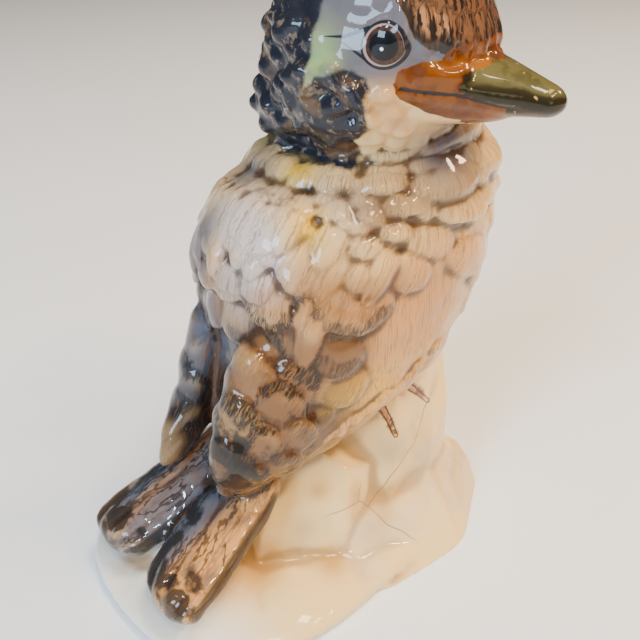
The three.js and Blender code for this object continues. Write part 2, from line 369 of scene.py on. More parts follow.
# %% One feather
def feather(kind, form, s, turn, length, width, thick, lift, ink=0.0):
    """A feather on a form, turn degrees round it, with its tip toward the form's start.

    Its sizes and how far its tip stands off are in hundredths of the height."""
    step, angle = 0.01, radians(turn)
    near = form([s + step, s - step, s, s], [angle, angle, angle + step, angle - step])
    per_share = np.linalg.norm(near[0] - near[1]) / (2 * step)
    per_angle = np.linalg.norm(near[2] - near[3]) / (2 * step)

    def place(ball):
        x, y = ball[:, 0] / 2, ball[:, 1] / 2
        z = np.sign(ball[:, 2]) * np.abs(ball[:, 2]) ** 0.75 / 2
        share = s - x * length / per_share
        round_at = angle + y * (1 + 0.3 * x) * width / per_angle
        down = form(share - step, round_at) - form(share + step, round_at)
        side = form(share, round_at + step) - form(share, round_at - step)
        out = np.cross(side, down)
        out /= np.linalg.norm(out, axis=1, keepdims=True) + 1e-9
        return form(share, round_at) + out * (z * thick + lift * x)[:, None]

    def edge(ball):
        """Millimetres in from the tip's rim, and none on the root's half."""
        radius = np.hypot(ball[:, 0], ball[:, 1])
        rim = (1 - radius) * length * HALF_MM
        return rim + np.clip(0.25 - ball[:, 0], 0, 1) * NO_EDGE

    press(
        kind, TURN, 18, 12, place,
        edge=edge,
        across=lambda ball: ball[:, 1] * width * HALF_MM,
        along=lambda ball: ball[:, 0] * length * HALF_MM,
        ink=lambda ball: np.full(len(ball), ink),
    )


print("the body's right side, halfway along", body(0.5, np.pi)[0].round(1))

# %% [markdown]
# The wing's scallops are each one stroke of a thumb, so no two are alike. Their places are
# given one by one, and only the small feathers of the mantle come in rows with some chance
# in them. The left wing mirrors the right one, with less lift at its free end.

# %% The wings and the mantle
SHOULDER_LIFT, FREE_LIFT, RIGHT_LIFT = 2.6, 1.5, 2.9
left_wing, right_wing = wing(1), wing(-1)
# Share along the form, turn round it, length, width, and how much ink the tip carries.
for form, rows in (
    (body, (
        (0.515, 235, 9.4, 8.6, 0.1), (0.42, 249, 7.4, 6.2, 0.2), (0.40, 263, 7.4, 6.6, 0.2),
        (0.41, 277, 7.4, 6.8, 0.2), (0.46, 217, 13.5, 14.5, 0.9), (0.40, 243, 9.5, 8.2, 1),
        (0.33, 261, 9.5, 7.2, 0.6), (0.36, 231, 9.5, 8.6, 1), (0.31, 245, 9, 8, 0.9),
        (0.36, 213, 9.5, 9.5, 0.8), (0.31, 226, 9.5, 9.5, 1), (0.31, 203, 9, 8.5, 0.4),
        (0.25, 212, 9, 8.5, 0.5),
    )),
    (right_wing, (
        (0.40, 282, 12, 8.5, 0.3), (0.22, 272, 11, 8.5, 0.2), (0.30, 338, 9.5, 8, 1),
        (0.25, 0, 9, 7.5, 0.6), (0.43, 335, 11, 9, 1), (0.50, 6, 9, 7, 0.7),
        (0.62, 340, 9.5, 7, 1), (0.60, 296, 11, 8, 1), (0.66, 20, 9, 6, 0.8),
        (0.79, 312, 11, 8, 1), (0.80, 350, 9, 6, 0.9), (0.50, 250, 13, 7, 0.4),
        (0.68, 262, 11, 6, 0.8),
    )),
):
    for s, angle, length, width, ink in rows:
        thick = 1.3 + 0.14 * length
        feather("covert", form, s, angle, length, width, thick, RIGHT_LIFT, ink)
        if form is body:
            feather("covert", body, s, 180 - angle, length, width, thick, SHOULDER_LIFT, ink)
        else:
            feather("covert", left_wing, s, -angle, length, width,
                    thick - SHOULDER_LIFT + FREE_LIFT, FREE_LIFT, ink)

# The mantle's small feathers lie above them, in close rows.
for row in range(6):
    for k in range(7):
        angle = 210 + 82 * (k + 0.5 * (row % 2)) / 6 + chance(-2, 2)
        if (abs(angle - 236) < 10 and row in (1, 2)) or (row == 0 and angle < 246):
            continue  # the yellow lobe and the wing's largest feather lie here
        feather("fold", body, 0.47 + 0.05 * row + chance(-0.006, 0.006),
                angle, chance(6, 7.6), chance(4.6, 6.2), 2.8, 3.6)
print("clay vertices", len(clay.verts))

# %% [markdown]
# The down of the breast and the throat has no hard edges. It is made of the same lenses, but
# flatter and wider ones, and the tufts of the throat get their unevenness from seeded chance.

# %% The breast and the throat
# Soft swellings lie between the wing and the throat: length, width and thickness.
for s, angle, length, width, thick in (
    (0.70, 219, 7, 9.5, 3.2), (0.53, 204, 6, 13, 2.2), (0.79, 252, 4.6, 4.6, 3.4),
    (0.78, 238, 4.4, 5.2, 3.2), (0.77, 226, 4, 5.4, 2.8), (0.80, 268, 5, 6, 3),
    (0.62, 196, 5.5, 12, 1.8), (0.70, 140, 6, 12, 2), (0.58, 165, 6, 14, 1.6),
    (0.80, 290, 5, 7, 3), (0.77, 308, 5, 7, 3), (0.70, 322, 7, 9, 3),
):
    feather("fold", body, s, angle, length, width, thick, 0.2)
    feather("fold", body, s, 180 - angle, length, width, thick, 0.2)
for row in range(5):
    for k in range(6):
        angle = 30 + 124 * (k + 0.5 * (row % 2)) / 5.5 + chance(-4, 4)
        feather("fold", body, 0.66 - 0.08 * row + chance(-0.02, 0.02),
                angle, 8, chance(7, 10), 1.0, 0.8)

# Small uneven tufts of down ring the throat like a ruff, in rows from the breast upward.
for row in range(6):
    for k in range(16 - row):
        angle = -52 + 290 * (k + 0.5 + 0.5 * (row % 2)) / (16 - row) + chance(-5, 5)
        feather("fold", body, 0.72 + 0.036 * row + chance(-0.012, 0.012),
                angle, chance(4, 6.4), chance(4.4, 8), 2.2, 1.9)
# Larger soft folds hang over them on the side that the bird looks to.
for s, angle, length, width in (
    (0.87, 205, 5.5, 9), (0.86, 178, 7, 12), (0.77, 184, 7.5, 14), (0.79, 214, 5, 7),
    (0.70, 176, 6.5, 12), (0.73, 205, 5, 8), (0.85, 150, 7, 11), (0.77, 148, 7, 12),
):
    feather("fold", body, s, angle, length, width, 3.4, 2.8)
print("clay vertices", len(clay.verts))

# %% [markdown]
# The tail is a pair of blades, each grooved where its feathers lie side by side. The grooves
# are left by laying four long lenses on each blade, side by side.

# %% The tail
for hand in (-1, 1):
    blade = tail(hand)
    skin("tail", TURN, blade, 40, 32)
    for angle in (30, 70, 110, 150):
        feather("tail", blade, 0.63, angle, 21, 4.6, 1.5, -0.2)
print("clay vertices", len(clay.verts))

# %% [markdown]
# The down on the nape and round the ears is modelled as wavy locks: strings of small balls
# that swing from side to side as they run down the back of the head. The tuft over the beak
# is a fan of smooth locks that end in a thick lower edge.

# %% Curls, tuft and eyes
def spiral(count):
    """Even places on a ball of radius 1, in a spiral from its top to its bottom."""
    for k in range(count):
        level = 1 - (k + 0.5) / (count / 2)
        wide = sqrt(1 - level * level)
        yield wide * cos(k * 2.4), wide * sin(k * 2.4), level


LOCKS, FIRST_LOCK, LAST_LOCK = 13, 100, 262  # turns in degrees, round the back of the head
for k in range(LOCKS):
    turn = FIRST_LOCK + (LAST_LOCK - FIRST_LOCK) * k / (LOCKS - 1)
    for n in range(8):
        rise = 44 - 13.5 * n + 6 * (k % 2)
        x, y, z = direction(turn + 5 * sin(2.1 * n + 1.7 * k), rise)
        size = 1.8 + 0.6 * chance(0, 1)
        lump("curl", LOOK, (14.112 * x, 12.74 * y, 13.916 * z - 1),
             (size * 1.25, size, size * 0.85), turn + 90 * (n % 2), 30 * (chance(0, 1) - 0.5),
             (14, 9))
for x, y, z in spiral(60):
    if x < 0.35 and z < 0.75:
        lump("curl", LOOK, (NAPE[0] + 8.4 * x, NAPE[1] + 9.8 * y, NAPE[2] + 8 * z),
             (2.0, 1.6, 1.4), chance(0, 180), chance(-40, 40), (12, 8))
for hand in (-1, 1):
    lump("beak", LOOK, (12.0, hand * 7.6, -0.5), (4.4, 2.6, 2.5), hand * -38, 0, (20, 14))
    for x, _, z in spiral(26):
        x, z = -1 + 6.2 * x, -5.5 + 5.6 * z
        out = SKULL[1] * sqrt(1 - ((x - SKULL_X) / SKULL[0]) ** 2 - (z / SKULL[2]) ** 2)
        lump("ear", LOOK, (x, hand * (out + 0.5), z), (1.7, 1.3, 1.2),
             chance(0, 180), 0, (10, 7))
    for x, y, z in (
        (7.2, 12.0, -2.8), (7.7, 10.8, -5.1), (6.4, 10.3, -7.2), (8.2, 8.6, -7.9),
        (8.8, 4.5, -10.2), (6.1, 4.2, -11.8), (9.8, 0.3, -12.4), (3.4, 7.5, -11.0),
        (5.4, 12.0, -6.2), (9.4, 7.4, -6.4), (6.8, 7.2, -10), (4.6, 9.6, -9.2),
    ):
        lump("skull", LOOK, (x, hand * y, z), (1.7, 1.4, 1.1),
             chance(0, 180), 0, (10, 7))
for k in range(11):
    turn = -62 + 12.4 * k
    x, y = 11.2 * cos(radians(turn)) + 2.4, 10.6 * sin(radians(turn))
    drop = 1.6 * cos(radians(turn * 1.4))
    lump("crown", LOOK, (x, y, 7.4 - drop), (5.6, 1.9, 1.7), turn, -58 - 3 * (k % 2), (16, 10))
for hand in (-1, 1):
    lump("eye", LOOK, (5.9, hand * 11.6, 3), (3, 1.4, 3), detail=(32, 20))
print("clay vertices", len(clay.verts))

# %% [markdown]
# The belly's lower edge has a fringe of small beads of down, where the glaze gathers bright.

# %% The fringe
BELLY_EDGE = (0.15, 0.21, 0.31, 0.41, 0.52), (200, 184, 168, 156, 150)  # shares and turns
for k in range(34):
    share = 0.16 + 0.26 * k / 33
    for hand in (-1, 1):
        round_at = np.interp(share, *BELLY_EDGE) + chance(-4, 4)
        at = body(share, radians(round_at if hand < 0 else 180 - round_at))[0]
        size = chance(0.8, 1.3)
        lump("fringe", TURN, tuple(at), (1.3 * size, 0.7 * size, 0.8 * size),
             chance(-40, 40), 30, (10, 7))
print("clay vertices", len(clay.verts))

# %% [markdown]
# The rock was cut with a wire: flat faces, then rounded by the glaze. A ball is trimmed by
# bisect_plane once for each face and each cut is closed again. A cube with its corners
# bevelled would look built, and this looks broken.

# %% The rock
rock_trees = []


def cut_flat(mesh, at, facing):
    """Takes off what lies beyond a plane and closes the cut again."""
    cut = bmesh.ops.bisect_plane(
        mesh,
        geom=mesh.verts[:] + mesh.edges[:] + mesh.faces[:],
        plane_co=at,
        plane_no=facing,
        clear_outer=True,
    )
    rim = [e for e in cut["geom_cut"] if isinstance(e, bmesh.types.BMEdge)]
    bmesh.ops.holes_fill(mesh, edges=rim)


def stone(at, size, cuts):
    """A ball trimmed by flat cuts, each turn, slope and distance as a share of the ball."""
    rock = bmesh.new()
    bmesh.ops.create_uvsphere(rock, u_segments=32, v_segments=20, radius=1)
    for turn, slope, far in cuts:
        facing = direction(turn, slope)
        cut_flat(rock, facing * far, facing)
    bmesh.ops.scale(rock, vec=Vector(size) * U, verts=rock.verts)
    bmesh.ops.translate(rock, vec=Vector(at) * U + FIGURE_AT, verts=rock.verts)
    rock_trees.append(BVHTree.FromBMesh(rock))
    add_to_clay(rock, "rock")


stone((8, 1, 0), (22, 19, 46), [
    (-72, 16, 0.72), (-46, 4, 0.74), (-58, 38, 0.76), (-20, 6, 0.82), (15, 8, 0.86),
    (60, 12, 0.8), (110, 16, 0.74), (170, 20, 0.7), (-120, 24, 0.68), (-90, 60, 0.78),
    (30, 62, 0.85)])
stone((-7, -2, 0), (20, 19, 30), [
    (-105, 30, 0.72), (-60, 14, 0.78), (-82, 6, 0.8), (-160, 34, 0.72), (100, 26, 0.78),
    (-30, 62, 0.8)])
stone((4, 0, 0), (28, 24, 14), [
    (-80, 34, 0.8), (-40, 26, 0.86), (20, 30, 0.9), (90, 34, 0.82), (-130, 40, 0.8)])
stone((-20, 0, 0), (19, 19, 10.5), [(-80, 44, 0.8), (-150, 30, 0.88), (100, 44, 0.8)])
print("stones", len(rock_trees))

# %% [markdown]
# The plinth is a low slab with a rounded rim, between an oval and a rectangle, and a little
# wider toward the tail. A superellipse has just that outline: moving a ball's vertices onto
# it leaves the rim round, which a bevelled box would need many segments for.

# %% The plinth
PLINTH_LENGTH, PLINTH_WIDTH, PLINTH_THICKNESS, PLINTH_RIM = 0.128, 0.089, 0.011, 0.0077
PLINTH_TURN = 14  # degrees
SQUARENESS, TAPER = 2.5, 0.14
slab = bmesh.new()
bmesh.ops.create_uvsphere(slab, u_segments=96, v_segments=40, radius=1)
for v in slab.verts:
    angle = atan2(v.co.y, v.co.x)
    c, d = cos(angle), sin(angle)
    reach = (abs(c) ** SQUARENESS + abs(d) ** SQUARENESS) ** (-1 / SQUARENESS)
    out = hypot(v.co.x, v.co.y) * reach / 2
    v.co = (
        c * out * PLINTH_LENGTH,
        d * out * PLINTH_WIDTH * (1 - TAPER * c),
        PLINTH_THICKNESS - PLINTH_RIM * (1 - v.co.z),
    )
turned = Matrix.Rotation(radians(PLINTH_TURN), 3, "Z")
bmesh.ops.rotate(slab, matrix=turned, verts=slab.verts)
add_to_clay(slab, "plinth")
print("clay vertices", len(clay.verts))

# %% [markdown]
# Only two toes show, as thin ridges on the rock's face under the belly. To lie on the stone
# they have to know where it is, so rays are cast at it from the side that they are seen from.

# %% The toes
SIGHT_START, SIGHT_REACH = 0.02, 0.08  # metres, off the toe and along the line of sight
TOE_SUNK, TOE_RADIUS, TOE_TAPER = 0.25, 0.85, 0.07
toe_lines = []
for points in (
    [(5, -10, 34.5), (10.5, -12.5, 31), (15.2, -13, 26.2)],
    [(2, -10, 33), (5.2, -13, 28.5), (7.4, -14, 22.8)],
):
    line = []
    for point in smooth_table(points, 6):
        start = FIGURE_AT + Vector(point) * U + back * SIGHT_START
        hits = [tree.ray_cast(start, -back, SIGHT_REACH) for tree in rock_trees]
        _, met = min((hit[3], hit[0]) for hit in hits if hit[0])
        line.append((met - FIGURE_AT) / U - back * TOE_SUNK)
    toe_lines.append(np.array(line))
    radii = [TOE_RADIUS - TOE_TAPER * i for i in range(len(line))]
    stations = [(*p, radius, radius) for p, radius in zip(line, radii)]
    skin("toe", STILL, Form(stations, side=(0.6, -0.8, 0), caps=(0.2, 0.3)), 16, 24)
bmesh.ops.recalc_face_normals(clay, faces=clay.faces)
print("clay vertices", len(clay.verts))

# %% [markdown]
# The Remesh modifier melts the lumps into one closed skin. Only its outer shell is kept, the
# part below the table is cut off, and the fresh skin is rubbed smooth: a little on the bird
# and a lot on the rock, whose cut edges the glaze has rounded.

# %% One skin
VOXEL = 0.00095  # metres
clay_data = bpy.data.meshes.new("clay")
clay.to_mesh(clay_data)
melted = bpy.data.objects.new("melted", clay_data)
bpy.context.collection.objects.link(melted)
remesh = melted.modifiers.new("melt", "REMESH")
remesh.mode = "VOXEL"
remesh.voxel_size = VOXEL
bpy.context.view_layer.update()
evaluated = melted.evaluated_get(bpy.context.evaluated_depsgraph_get())
glazed_data = bpy.data.meshes.new_from_object(evaluated)
bpy.data.objects.remove(melted)

shell = bmesh.new()
shell.from_mesh(glazed_data)
shell.verts.ensure_lookup_table()
# The outer shell is what can be reached along edges from the top of the crown.
outer, queue = set(), [max(shell.verts, key=lambda v: v.co.z)]
while queue:
    v = queue.pop()
    if v not in outer:
        outer.add(v)
        queue.extend(e.other_vert(v) for e in v.link_edges)
bmesh.ops.delete(shell, geom=[v for v in shell.verts if v not in outer], context="VERTS")
cut_flat(shell, (0, 0, 0), (0, 0, -1))
print("skin vertices", len(shell.verts))

# %% [markdown]
# The painter needs to know what each place on the skin is. The nearest place on the clay
# says so: a BVH tree finds its face, and the marks of the face's corners are averaged by
# distance. A Data Transfer modifier does the same, but here the marks are used at once.

# %% Reading the marks back
def read_marks():
    """The marks of the clay nearest to each vertex of the skin, as columns by name."""
    tree = BVHTree.FromBMesh(clay)
    clay.faces.ensure_lookup_table()
    layers = [clay.verts.layers.float[name] for name in MARKS]
    rows = []
    for v in shell.verts:
        corners = clay.faces[tree.find_nearest(v.co)[2]].verts
        weights = [1 / ((c.co - v.co).length + 1e-6) for c in corners]
        total = sum(weights)
        row = [sum(w * c[layer] for w, c in zip(weights, corners)) / total for layer in layers]
        row[0] = corners[0][layers[0]]
        rows.append(row)
    return dict(zip(MARKS, np.array(rows).T))


marks = read_marks()
FOOT = 0.0008  # metres over the table, where the stone is left as it was cut


def is_kind(*names):
    return np.isin(marks["kind"], [KINDS.index(name) for name in names])


stony = is_kind("rock", "plinth")
rubbed_stone = [v for v, here in zip(shell.verts, stony) if here and v.co.z > FOOT]
rubbed_bird = [v for v, here in zip(shell.verts, stony) if not here]
for verts in (rubbed_stone, rubbed_stone, rubbed_bird):
    bmesh.ops.smooth_vert(shell, verts=verts, factor=0.5, use_axis_x=True, use_axis_y=True,
                          use_axis_z=True)
print({kind: int(is_kind(kind).sum()) for kind in KINDS})

# %% [markdown]
# Places on the head and on the trunk are easier to name in their own frames, where the head
# looks along x and the trunk heads along x. Both are in hundredths of the height again.

# %% Places in the figure's own frames
def in_frame(points, frame_of):
    turn = np.array(frame_of.inverted())
    return (points / U - np.array(FIGURE_AT) / U) @ turn[:3, :3].T + turn[:3, 3]


def ramp(value, low, high):
    """0 below low and 1 above high, with soft ends. It falls where low is above high."""
    t = np.clip((value - low) / (high - low), 0, 1)
    return t * t * (3 - 2 * t)


spots = np.array([v.co for v in shell.verts])
head, trunk = in_frame(spots, LOOK), in_frame(spots, TURN)
hx, hy, hz = head.T
tx, ty, tz = trunk.T
mouth_z = np.interp(hx, (8.7, 12.3, 15.1, 19.5, 24), (-1.9, -2.4, -2.7, -4.4, -4.9))
print("head from", head.min(axis=0).round(1), "to", head.max(axis=0).round(1))

# %% [markdown]
# Small hollows are pressed in last, by moving each vertex along its own normal: the groove
# where the halves of the beak meet, the nostrils, the pits that a tool left in the wing, and
# the slight unevenness of hand pressing, which the down has more of than the skull.

# %% Grooves, pits and pressing
beak_here = is_kind("beak")
groove = np.exp(-(((hz - mouth_z) / 0.35) ** 2)) * beak_here * ramp(hx, 23, 19) * 0.4
dent = np.exp(-(((hx - 14.0) / 1.5) ** 2) - ((np.abs(hy) - 7.8) / 1.6) ** 2
              - ((hz - 0.9) / 0.6) ** 2) * 0.9
PITS = (
    (-7.8, -6.9, 66.9), (-4.8, -10.7, 67.2), (1.4, -16.1, 64.0), (-0.8, -17.8, 59.8),
    (-4.8, -15.3, 62.3), (15.2, -17.2, 50.1), (-6.2, -17.3, 54.6),
)
pit = sum(np.exp(-(((trunk - at) / (2, 2, 1)) ** 2).sum(axis=1)) for at in np.array(PITS))
uneven = np.where(is_kind("body", "fold", "covert", "quill", "tail"), 0.3, 0.08)
uneven = np.where(stony | is_kind("eye", "beak"), 0.03, uneven)
pressed = uneven * [clay_noise.noise(v.co * 150) for v in shell.verts]
rolling = np.array([clay_noise.noise(v.co * 75) for v in shell.verts])
pressed = pressed + rolling * stony * ramp(tz, 1, 5) * 0.9
pressed = pressed * (tz > 0.5)  # the foot stays flat
for v, depth in zip(shell.verts, (groove + dent + pit * 0.35 + pressed) * U):
    v.co -= v.normal * depth
print("deepest groove in mm", round(float((groove + dent).max() * U * 1000), 2))

# %% [markdown]
# Hollows get painted shade, where some glaze gathers too, and crests get painted light. A copy
# of the skin is smoothed, and where it comes to lie above the real skin there is a hollow.

# %% Hollows and crests
edges = np.array([[v.index for v in e.verts] for e in shell.edges])
ends, others = np.r_[edges[:, 0], edges[:, 1]], np.r_[edges[:, 1], edges[:, 0]]
neighbours = np.bincount(ends, minlength=len(spots))[:, None]
spots = np.array([v.co for v in shell.verts])
normals = np.array([v.normal for v in shell.verts])


def hollow(times):
    """Millimetres from the skin up to a smoothed copy of it."""
    soft = spots
    for _ in range(times):
        mean = np.stack([np.bincount(ends, soft[others, i], len(spots)) for i in range(3)], axis=1)
        soft = 0.4 * soft + 0.6 * mean / neighbours
    return ((soft - spots) * normals).sum(axis=1) * 1000


fine_hollow, broad_hollow = hollow(5), hollow(30)
print("hollows in mm", [np.percentile(h, (1, 5, 50, 95, 99)).round(3).tolist()
                        for h in (fine_hollow, broad_hollow)])

# %% [markdown]
# The glaze is one material, and the painting is in it. Soft washes are worked out here for
# every vertex, one over the other, as a painter lays them, from the light ground to the dark
# patches. Edges that have to be crisp are kept as fields instead: each says how far inside
# a patch the place is, and the material draws the ragged border where the field is zero.

# %% Soft washes
def paint(red, green, blue):
    """A colour picked as on a screen, as the linear values that the material needs."""
    srgb = np.array((red, green, blue)) / 255
    return np.where(srgb <= 0.04045, srgb / 12.92, ((srgb + 0.055) / 1.055) ** 2.4)


CREAM, IVORY, PEACH = paint(214, 178, 120), paint(232, 204, 142), paint(188, 126, 68)
CLAY_BROWN, COOL_WHITE, SLATE = paint(102, 68, 38), paint(176, 178, 186), paint(76, 86, 100)
YELLOW, LIME, OCHRE = paint(226, 178, 48), paint(140, 166, 104), paint(176, 128, 50)
SEPIA, SAND_STAIN_AND_SHADE = paint(60, 38, 24), paint(150, 114, 66)
UNDER_BEAK_SHADE, GAP_SHADE, SHADE = paint(90, 84, 92), paint(16, 16, 18), paint(112, 90, 74)
FACE_BLUE, WINDOW_LIT_WHITE = paint(62, 72, 92), paint(222, 226, 222)
BEAK_ROOT = 15.2  # along the head, past which the beak has none of the face's paint
wash = np.tile(CREAM, (len(spots), 1))


def lay(colour, amount):
    """Lays a wash over the colours so far, as strong as amount, from 0 to 1."""
    amount = np.clip(amount, 0, 1)[:, None]
    wash[:] = wash * (1 - amount) + colour * amount


def dab(place, at, size):
    """A soft round spot in a frame's coordinates."""
    away = (place - np.array(at)) / np.array(size)
    return np.exp(-(away**2).sum(axis=1))


def dabs(colour, where, place, rows):
    """Lays soft spots of one colour: the place, size and strength of each."""
    for at, size, strength in rows:
        lay(colour, where * dab(place, at, size) * strength)


bird = ~stony
on_head = is_kind("skull", "crown", "curl", "ear", "eye")
on_trunk = bird & ~on_head & ~beak_here
on_wing = is_kind("covert", "quill")
print("vertices on the trunk", int(on_trunk.sum()), "and on the head", int(on_head.sum()))

# %% [markdown]
# The trunk is cream with a peach belly. The wings are clay brown and get darker toward their
# ends, the mantle is a cool white, the far side goes to slate, and yellow is dabbed on a few
# places. Black is painted shade in the gap behind the wings. A mask by height or length is
# enough for most, and a soft spot for the rest.

# %% Washes on the trunk
lay(PEACH, on_trunk * ramp(tz, 64, 54) * 0.75)
lay(CLAY_BROWN, on_wing * ramp(tz, 57, 46) * 0.8)
lay(CLAY_BROWN, is_kind("body", "fold") * ramp(tx, -3, -8) * ramp(tz, 53, 47) * 0.7)
lay(CREAM, on_trunk * ramp(tx, 4, 16) * 0.35)
lay(CREAM, is_kind("covert") * ramp(marks["seed"], 0.6, 1) * 0.22)
lay(SEPIA, on_wing * ramp(marks["seed"], 0.45, 0) * ramp(tz, 58, 48) * 0.45)
lay(SEPIA, on_wing * ramp(tz, 42, 30) * 0.4)
lay(CREAM, on_trunk * dab(trunk, (-4.8, -16.6, 59.4), (7, 6, 2.6)) * 0.8)
dabs(CLAY_BROWN, on_trunk, trunk, [
    ((-2.4, -14.4, 64.8), (5.5, 6, 3.4), 0.75),
    ((-5.7, -17.3, 55.3), (7, 5, 3), 0.5),
    ((-11.6, -13.8, 55.8), (4, 4, 4), 0.4),
    ((-16.8, -9.3, 49.5), (3, 4, 6), 0.3),
    ((-21.5, -7.2, 40.7), (3, 3, 3), 0.6),
])
dabs(COOL_WHITE, on_trunk, trunk, [
    ((-14.4, -2.1, 61.4), (5, 7, 6), 0.9),
    ((-16.2, -7.2, 58.6), (4, 3, 4.5), 0.8),
    ((-7, -9, 64), (5, 5, 3.4), 0.6),
    ((-19, -3.6, 54.2), (4, 3, 5), 0.5),
])
lay(SLATE, on_trunk * ramp(tx, -14, -18) * ramp(ty, -0.5, 3.5) * ramp(tz, 22, 32) * 0.8)
lay(SLATE, on_trunk * ramp(tx, -4, -9) * ramp(np.abs(ty), 8, 5) * ramp(tz, 50, 44) * 0.85)
lay(SLATE, on_trunk * dab(trunk, (-9, 5, 67), (4, 4.5, 3.4)) * 0.9)
dabs(YELLOW, on_trunk, trunk, [
    ((-6.9, -3.9, 68.4), (2.3, 2.3, 2.3), 1),
    ((-10.3, -9.9, 63), (3.1, 3.1, 3.4), 1.1),
    ((24.2, -12.9, 58.3), (3, 4, 4.5), 0.9),
    ((20, -8, 68), (3, 4, 4), 0.8),
    ((-5, -17.2, 37.5), (6, 5, 3.6), 0.75),
    ((3, -17, 41), (6, 4, 3), 0.4),
])
lay(SHADE, is_kind("fold") * dab(trunk, (9, -17, 65.4), (8, 5, 1.6)) * 0.6)
# Painted shade: black in the gap between the far wing and the body, above the tail.
lay(GAP_SHADE, on_trunk * dab(trunk, (-20, 1, 31), (6, 4.2, 8)) * 1.8)
lay(GAP_SHADE, on_wing * ramp(ty, 1, 3) * ramp(ty, 12, 8) * ramp(tz, 35, 29) * 0.85)
print("trunk's mean colour", wash[on_trunk].mean(axis=0).round(2))

# %% [markdown]
# The face is a cold grey blue, with a pale green patch behind each eye and warm cheeks. The
# tail's blades are slate along one side. The nape and the cap come later, as crisp patches.

# %% Washes on the head and the tail
near_eye = on_head | (beak_here & (hx < BEAK_ROOT))
lay(FACE_BLUE, near_eye * ramp(hz, -3.5, 0) * 0.9)
dabs(PEACH, on_head, head, [((8, y, -4.5), (3.5, 5, 3.5), 0.6) for y in (-11, 11)])
# Painted shade in lilac grey under the beak, on the chin and the throat.
lay(UNDER_BEAK_SHADE, bird * dab(head, (12, -1, -12), (5, 9, 4.4)) * 1.1)
dabs(LIME, on_head, head, [((-0.8, y, 0.8), (2.4, 4, 3.6), 0.95) for y in (-13, 13)])
lay(OCHRE, on_head * dab(head, (14, 3, -9.5), (1.6, 3, 3)) * 0.8)

on_tail = is_kind("tail")
dabs(SLATE, on_tail, trunk, [((-26, y, 14), (16, 3, 9), 1.3) for y in (-1.8, 10.2)])
print("head's mean colour", wash[on_head].mean(axis=0).round(2))

# %% [markdown]
# The stone is ivory, with ochre run together between its faces, painted shadow in grey brown
# under the belly, and painted light on its end toward the tail. Last of all, painted shade goes
# into every hollow that was measured above, sepia on the trunk and sand on the stone, where
# some glaze and ochre stain gather too, and painted light in cream goes onto the crests.

# %% Washes on the stone and in the hollows
lay(IVORY, stony * 1.0)
dabs(OCHRE, stony, trunk, [
    ((-22, -10.5, 6.5), (5, 4, 3), 0.8),
    ((-11, -16, 5), (3, 3, 2.4), 0.8),
    ((-9.5, -11.5, 16), (2, 2.4, 2), 0.7),
    ((-3, -14.5, 13), (1.6, 3, 2.6), 0.8),
    ((4, -15, 10), (3, 3, 1.6), 0.8),
    ((14, -12, 8), (8, 5, 5), 0.3),
    ((22, 2, 14), (5, 9, 12), 0.35),
    ((-6, 14, 8), (10, 5, 6), 0.45),
])
# Painted shadow under the belly, and painted shade on a few faces of the stone below it.
dabs(SHADE, stony, trunk, [
    ((-12, -12, 23), (7, 7, 4), 0.75),
    ((5, -13.5, 18), (4, 4, 4), 0.4),
    ((-13, -11, 10), (3, 4, 3), 0.35),
    ((-2, -17, 7), (4, 3, 2), 0.4),
    ((14, -15, 16), (3, 5, 8), 0.3),
])
# Painted light: the stone's end toward the tail is whiter and cooler, as lit by the window.
lay(WINDOW_LIT_WHITE, stony * ramp(tx, -22, -34) * 0.8)
# Painted shade in the hollows, with some gathered glaze and ochre stain; painted light in cream on
# the crests.
lay(SEPIA, on_trunk * ramp(fine_hollow, 0.02, 0.13) * 0.75)
lay(SEPIA, on_trunk * ramp(broad_hollow, 0.12, 0.7) * 0.6)
lay(SAND_STAIN_AND_SHADE, stony * ramp(broad_hollow, 0.03, 0.4) * 0.7)
lay(CREAM, on_trunk * ramp(broad_hollow, -0.3, -0.9) * 0.3)
print("washes from", wash.min(axis=0).round(2), "to", wash.max(axis=0).round(2))

# %% [markdown]
# The nape, the cap and the beak end in crisp, ragged borders. A wash would blur them, since
# it is only as fine as the mesh. So each patch gets a field: a border is drawn through a few
# places of the head's side, and the field says how far inside it a place is.

# %% Fields for the crisp patches
FAR = 4.0  # the field well inside a patch, and -FAR well outside
NAPE_END = -13.6  # how far down the head the dark down reaches
curve = np.interp  # a border through a few places, as curve(value, places, heights)
ear_field = np.minimum.reduce([
    curve(hz, (-13.4, -12, -9.5, -7, -2.8, -0.8), (2.3, 2.0, 2.9, 5.7, 5.6, 5.0)) - hx,
    curve(hx, (-2.5, -0.8, 2.5, 5), (-2.5, -1.0, 0.3, -0.8)) - hz,
    hz - NAPE_END,
])
back_field = np.minimum(-2.5 - hx + 0.12 * np.maximum(hz, 0), hz - NAPE_END)
round_head = np.degrees(np.arctan2(np.abs(hy), hx))
cap_field = hz - curve(
    round_head, (0, 15, 25, 33, 41, 47, 51, 60, 180), (0.4, 0.6, 1.3, 2.0, 2.7, 4, 6, 9.5, 9.5)
)
beak_field = np.minimum.reduce([
    curve(hx, (8.2, 8.6, 11, 13, 13.4, 14.8), (-1.4, 0.2, 1.2, 1.4, 2.4, 3.1)) - hz,
    hz - curve(hx, (8.2, 8.8, 11.4, 14.9, 20), (-1.6, -3.2, -5.0, -6.3, -7)),
    hx - 8.2,
])
beak_field = np.where(beak_here & (hx > BEAK_ROOT), FAR, beak_field)
olive_from = np.where(hz > mouth_z, 18.1 - 0.35 * np.abs(hy), 19.9)

